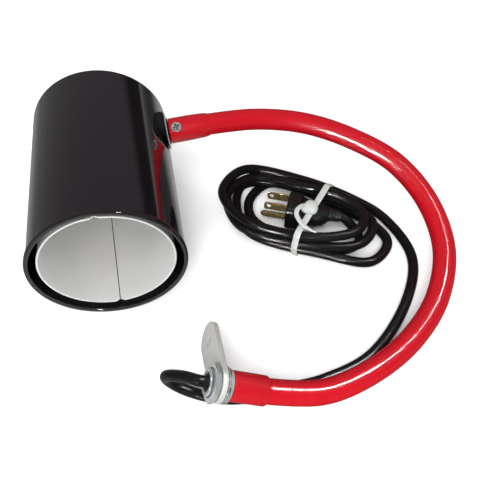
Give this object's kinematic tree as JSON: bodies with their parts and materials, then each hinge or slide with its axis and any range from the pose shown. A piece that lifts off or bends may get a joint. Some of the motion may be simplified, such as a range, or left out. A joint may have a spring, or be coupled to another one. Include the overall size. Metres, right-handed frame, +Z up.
{
  "type": "heat lamp fixture",
  "caption": "Tube-shaded heat lamp on a flexible gooseneck arm with a swivelling head, a strap mounting plate and a tied power cord with a grounded plug.",
  "frame": {"origin": "middle of the bottom face of the bounding box, with the fixture lying at rest on the plane Z = 0", "axes": "+X runs along the longest extent, from the shade towards the outside of the arm's bend; +Y runs from the shade's mouth towards its back end; +Z is up, the shortest extent"},
  "size_m": [0.314, 0.2316, 0.1036],
  "materials": {
    "shell_paint": "gloss black stoved paint",
    "liner_metal": "satin bright reflector sheet",
    "zinc": "bright zinc plate",
    "ceramic": null,
    "brass": "stamped brass, lightly worn",
    "black_plastic": "moulded black plastic",
    "white_plastic": "translucent natural nylon",
    "red_paint": "gloss red paint",
    "red_vinyl": "gloss red vinyl sleeve with faint ribs",
    "cord_vinyl": "semi-gloss black jacket"
  },
  "bodies": {
    "mount": {"mount_plate": "zinc", "plate_washer": "zinc", "power_cord": "cord_vinyl", "plug_body": "black_plastic", "plug_blade_line": "brass", "plug_blade_neutral": "brass", "plug_ground_pin": "brass", "cord_tie": "white_plastic"},
    "arm_base": {"base_nipple": "zinc", "base_collar": "zinc", "base_locknut": "zinc", "base_ferrule": "red_paint", "cord_bushing": "black_plastic"},
    "link_1": {"arm_link_1": "red_vinyl"},
    "link_2": {"arm_link_2": "red_vinyl"},
    "link_3": {"arm_link_3": "red_vinyl"},
    "link_4": {"arm_link_4": "red_vinyl"},
    "link_5": {"arm_link_5": "red_vinyl"},
    "link_6": {"arm_link_6": "red_vinyl"},
    "link_7": {"arm_link_7": "red_vinyl"},
    "link_8": {"arm_link_8": "red_vinyl"},
    "link_9": {"arm_link_9": "red_vinyl"},
    "link_10": {"arm_link_10": "red_vinyl"},
    "link_11": {"arm_link_11": "red_vinyl"},
    "arm_tip": {"tip_ferrule": "red_paint", "clamp_screw": "zinc"},
    "head": {"shade_shell": "shell_paint", "shade_cap": "shell_paint", "liner_half_left": "liner_metal", "liner_half_right": "liner_metal", "lamp_plate": "zinc", "lampholder_body": "ceramic", "lampholder_screw_shell": "brass", "lampholder_contact": "brass", "lampholder_screw_1": "zinc", "lampholder_screw_2": "zinc", "lead_live": "black_plastic", "lead_neutral": "white_plastic", "saddle_block": "black_plastic", "saddle_washer": "zinc", "swivel_ring": "black_plastic", "stud_nut": "zinc", "swivel_stud": "zinc"}
  },
  "joints": [
    {"name": "mount_swivel", "type": "hinge", "parent": "mount", "child": "arm_base", "pos_m": [-0.00977, -0.1041, 0.03002], "axis": [0.9127, 0.037, -0.4069], "range_deg": [0, 60]},
    {"name": "arm_joint_1", "type": "hinge", "parent": "arm_base", "child": "link_1", "pos_m": [0.01853, -0.10296, 0.01741], "axis": [0, 0, -1], "range_deg": [0, 4.55]},
    {"name": "arm_joint_2", "type": "hinge", "parent": "link_1", "child": "link_2", "pos_m": [0.05538, -0.10116, 0.0127], "axis": [0, 0, -1], "range_deg": [0, 21.95]},
    {"name": "arm_joint_3", "type": "hinge", "parent": "link_2", "child": "link_3", "pos_m": [0.08956, -0.08545, 0.01177], "axis": [0, 0, -1], "range_deg": [0, 14.59]},
    {"name": "arm_joint_4", "type": "hinge", "parent": "link_3", "child": "link_4", "pos_m": [0.11869, -0.06167, 0.01196], "axis": [0, 0, -1], "range_deg": [0, 15.38]},
    {"name": "arm_joint_5", "type": "hinge", "parent": "link_4", "child": "link_5", "pos_m": [0.14034, -0.03125, 0.01564], "axis": [0, 0, -1], "range_deg": [0, 20.69]},
    {"name": "arm_joint_6", "type": "hinge", "parent": "link_5", "child": "link_6", "pos_m": [0.14968, 0.00409, 0.02407], "axis": [0, 0, -1], "range_deg": [0, 27.73]},
    {"name": "arm_joint_7", "type": "hinge", "parent": "link_6", "child": "link_7", "pos_m": [0.14174, 0.03868, 0.0358], "axis": [0, 0, -1], "range_deg": [0, 24.98]},
    {"name": "arm_joint_8", "type": "hinge", "parent": "link_7", "child": "link_8", "pos_m": [0.11996, 0.06669, 0.04789], "axis": [0, 0, -1], "range_deg": [0, 22.49]},
    {"name": "arm_joint_9", "type": "hinge", "parent": "link_8", "child": "link_9", "pos_m": [0.0882, 0.08481, 0.0561], "axis": [0.3086, 0.9512, 0], "range_deg": [0, 15]},
    {"name": "arm_joint_10", "type": "hinge", "parent": "link_9", "child": "link_10", "pos_m": [0.05269, 0.09634, 0.06138], "axis": [0, 0, -1], "range_deg": [0, 17.12]},
    {"name": "arm_joint_11", "type": "hinge", "parent": "link_10", "child": "link_11", "pos_m": [0.01548, 0.09692, 0.06496], "axis": [-0.2348, 0.972, 0], "range_deg": [0, 15]},
    {"name": "arm_joint_12", "type": "hinge", "parent": "link_11", "child": "arm_tip", "pos_m": [-0.0211, 0.08808, 0.06744], "axis": [-0.181, 0.9835, 0], "range_deg": [0, 15]},
    {"name": "head_swivel", "type": "hinge", "parent": "arm_tip", "child": "head", "pos_m": [-0.05239, 0.08233, 0.06505], "axis": [0.9807, 0.1805, 0.075], "range_deg": [-90, 90]}
  ],
  "couplings": [
    {"joint": "arm_joint_1", "follows": "arm_joint_6", "ratio": 0.1623},
    {"joint": "arm_joint_2", "follows": "arm_joint_6", "ratio": 0.7896},
    {"joint": "arm_joint_3", "follows": "arm_joint_6", "ratio": 0.5245},
    {"joint": "arm_joint_4", "follows": "arm_joint_6", "ratio": 0.553},
    {"joint": "arm_joint_5", "follows": "arm_joint_6", "ratio": 0.7444},
    {"joint": "arm_joint_7", "follows": "arm_joint_6", "ratio": 0.8992},
    {"joint": "arm_joint_8", "follows": "arm_joint_6", "ratio": 0.8091},
    {"joint": "arm_joint_10", "follows": "arm_joint_6", "ratio": 0.6156},
    {"joint": "arm_joint_11", "follows": "arm_joint_9", "ratio": 1},
    {"joint": "arm_joint_12", "follows": "arm_joint_9", "ratio": 1}
  ]
}
